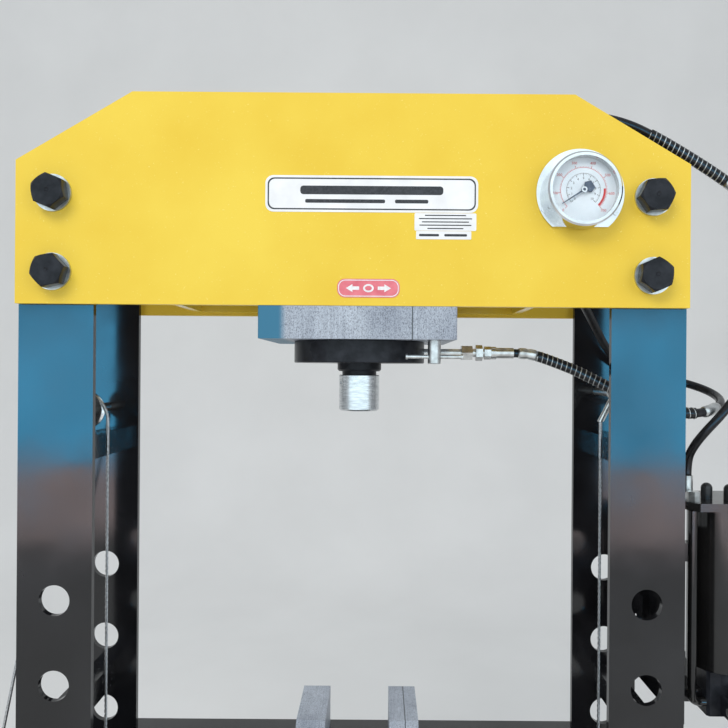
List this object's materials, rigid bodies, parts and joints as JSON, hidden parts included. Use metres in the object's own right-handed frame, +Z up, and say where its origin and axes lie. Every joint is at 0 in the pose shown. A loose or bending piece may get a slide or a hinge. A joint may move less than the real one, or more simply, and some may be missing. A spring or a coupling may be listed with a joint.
{
  "type": "hydraulic shop press",
  "caption": "H frame shop press with a sliding hydraulic ram carriage, a rope-lifted bed on pins, a pressure gauge and a hand pump.",
  "frame": {"origin": "on the floor at the centre of the press without its hoses, which is also the centre of the four anchor holes in the feet", "axes": "+X to the right seen from the front, +Y to the back, +Z up"},
  "size_m": [1.3925, 0.78, 1.8092],
  "materials": {
    "yellow_paint": "gloss",
    "black_paint": "gloss",
    "black_steel": "satin",
    "tank_black": "gloss",
    "zinc": "plated",
    "sawn_steel": "sawn",
    "bright_steel": "turned",
    "spring_steel": "oiled",
    "polished_steel": "polished",
    "gauge_body": "satin",
    "dial_white": "printed",
    "needle_black": "satin",
    "lens_glass": "clear",
    "label_film": "printed",
    "hose_rubber": "smooth",
    "wire_rope": "stranded",
    "lever_tube": "gloss",
    "grip_rubber": "matte",
    "knob_plastic": "gloss"
  },
  "bodies": {
    "frame": {"head_front_plate": "yellow_paint", "head_rear_plate": "yellow_paint", "frame_spacers": "black_paint", "head_bolts": "black_steel", "nuts_and_washers": "zinc", "left_post_plates": "black_paint", "right_post_plates": "black_paint", "feet": "black_paint", "cross_channels": "black_paint", "frame_bolts": "black_steel", "front_labels": "label_film", "gauge_flange": "polished_steel", "gauge_case": "gauge_body", "gauge_bezel": "polished_steel", "gauge_dial": "dial_white", "gauge_lens": "lens_glass", "gauge_hose": "hose_rubber", "supply_hose": "hose_rubber", "pivot_pins": "zinc", "lift_rope_upper": "wire_rope", "lift_rope_runs": "wire_rope", "winch_bracket": "black_paint", "pump_bracket": "black_paint", "reservoir": "tank_black", "reservoir_lid": "tank_black", "lid_fittings": "zinc", "pump_body": "black_steel"},
    "carriage": {"carriage_slab": "sawn_steel", "cylinder_ring_flange": "black_steel", "cylinder_barrel": "black_paint", "cylinder_cap": "black_paint", "cylinder_gland": "bright_steel", "carriage_hanger": "black_paint", "port_fittings": "zinc", "return_spring": "spring_steel"},
    "left_wheels": {"left_wheelset": "bright_steel"},
    "right_wheels": {"right_wheelset": "bright_steel"},
    "clamp": {"clamp_screw": "zinc", "tommy_bar": "zinc"},
    "ram": {"ram_rod": "black_steel", "piston": "bright_steel", "ram_tip": "bright_steel"},
    "needle": {"gauge_needle": "needle_black"},
    "bed": {"bed_channels": "black_paint", "bed_cross_members": "black_paint", "lift_rope_under_bed": "wire_rope"},
    "left_bed_wheel": {"left_bed_pulley": "bright_steel"},
    "right_bed_wheel": {"right_bed_pulley": "bright_steel"},
    "top_wheel": {"top_pulley": "bright_steel"},
    "drum": {"winch_drum": "black_steel"},
    "grip": {"crank_grip": "grip_rubber"},
    "pawl": {"winch_pawl": "black_steel"},
    "left_pin": {"left_bed_pin": "zinc"},
    "right_pin": {"right_bed_pin": "zinc"},
    "left_block": {"left_press_block": "sawn_steel"},
    "right_block": {"right_press_block": "sawn_steel"},
    "lever": {"pump_lever": "lever_tube", "lever_grip": "grip_rubber"},
    "plunger": {"pump_plunger": "bright_steel"},
    "release": {"release_knob": "knob_plastic"}
  },
  "joints": [
    {"name": "carriage_slide", "type": "slide", "parent": "frame", "child": "carriage", "axis": [1, 0, 0], "range_m": [-0.108, 0.092], "deforming": ["gauge_hose", "supply_hose"]},
    {"name": "left_wheels_roll", "type": "hinge", "parent": "carriage", "child": "left_wheels", "pos_m": [-0.104, 0, 1.51305], "axis": [0, 1, 0], "range_deg": [-430, 430]},
    {"name": "right_wheels_roll", "type": "hinge", "parent": "carriage", "child": "right_wheels", "pos_m": [0.12, 0, 1.51305], "axis": [0, 1, 0], "range_deg": [-430, 430]},
    {"name": "clamp_turn", "type": "hinge", "parent": "carriage", "child": "clamp", "pos_m": [0.126, -0.09, 1.4045], "axis": [0, 0, 1], "range_deg": [0, 110]},
    {"name": "ram_stroke", "type": "slide", "parent": "carriage", "child": "ram", "axis": [0, 0, -1], "range_m": [0, 0.2], "stiffness_N_per_m": 2000, "springref_m": -0.12, "deforming": ["return_spring"]},
    {"name": "needle_turn", "type": "hinge", "parent": "frame", "child": "needle", "pos_m": [0.341, -0.139, 1.6515], "axis": [0, 1, 0], "range_deg": [0, 270]},
    {"name": "bed_lift", "type": "slide", "parent": "frame", "child": "bed", "axis": [0, 0, 1], "range_m": [0, 0.26], "deforming": ["lift_rope_runs"]},
    {"name": "left_bed_pulley_turn", "type": "hinge", "parent": "bed", "child": "left_bed_wheel", "pos_m": [-0.387, 0, 0.54], "axis": [0, 1, 0], "range_deg": [-600, 600]},
    {"name": "right_bed_pulley_turn", "type": "hinge", "parent": "bed", "child": "right_bed_wheel", "pos_m": [0.387, 0, 0.54], "axis": [0, 1, 0], "range_deg": [-600, 600]},
    {"name": "top_pulley_turn", "type": "hinge", "parent": "frame", "child": "top_wheel", "pos_m": [-0.451, 0, 1.313], "axis": [0, 1, 0], "range_deg": [-1065, 1065]},
    {"name": "drum_turn", "type": "hinge", "parent": "frame", "child": "drum", "pos_m": [-0.64, 0, 0.64], "axis": [0, 1, 0], "range_deg": [-995, 995]},
    {"name": "grip_spin", "type": "hinge", "parent": "drum", "child": "grip", "pos_m": [-0.64, -0.12, 0.54], "axis": [0, 1, 0], "continuous": true},
    {"name": "pawl_lift", "type": "hinge", "parent": "frame", "child": "pawl", "pos_m": [-0.57, 0.051, 0.64], "axis": [0, 1, 0], "range_deg": [0, 30]},
    {"name": "left_pin_pull", "type": "slide", "parent": "frame", "child": "left_pin", "axis": [0, -1, 0], "range_m": [0, 0.4]},
    {"name": "right_pin_pull", "type": "slide", "parent": "frame", "child": "right_pin", "axis": [0, -1, 0], "range_m": [0, 0.4]},
    {"name": "left_block_slide", "type": "slide", "parent": "bed", "child": "left_block", "axis": [1, 0, 0], "range_m": [-0.2, 0.05]},
    {"name": "right_block_slide", "type": "slide", "parent": "bed", "child": "right_block", "axis": [1, 0, 0], "range_m": [-0.05, 0.2]},
    {"name": "lever_swing", "type": "hinge", "parent": "frame", "child": "lever", "pos_m": [0.618, -0.074, 0.85], "axis": [-1, 0, 0], "range_deg": [0, 40]},
    {"name": "plunger_stroke", "type": "slide", "parent": "frame", "child": "plunger", "axis": [0, 1, 0], "range_m": [0, 0.021]},
    {"name": "release_turn", "type": "hinge", "parent": "frame", "child": "release", "pos_m": [0.663, -0.02, 0.85], "axis": [1, 0, 0], "range_deg": [0, 180]}
  ],
  "couplings": [
    {"joint": "left_wheels_roll", "follows": "carriage_slide", "rad_per_m": 66.667},
    {"joint": "right_wheels_roll", "follows": "carriage_slide", "rad_per_m": 66.667},
    {"joint": "top_pulley_turn", "follows": "bed_lift", "rad_per_m": -71.429},
    {"joint": "drum_turn", "follows": "bed_lift", "rad_per_m": 66.667},
    {"joint": "left_bed_pulley_turn", "follows": "bed_lift", "rad_per_m": 40},
    {"joint": "right_bed_pulley_turn", "follows": "bed_lift", "rad_per_m": 40},
    {"joint": "plunger_stroke", "follows": "lever_swing", "m_per_rad": 0.03}
  ]
}
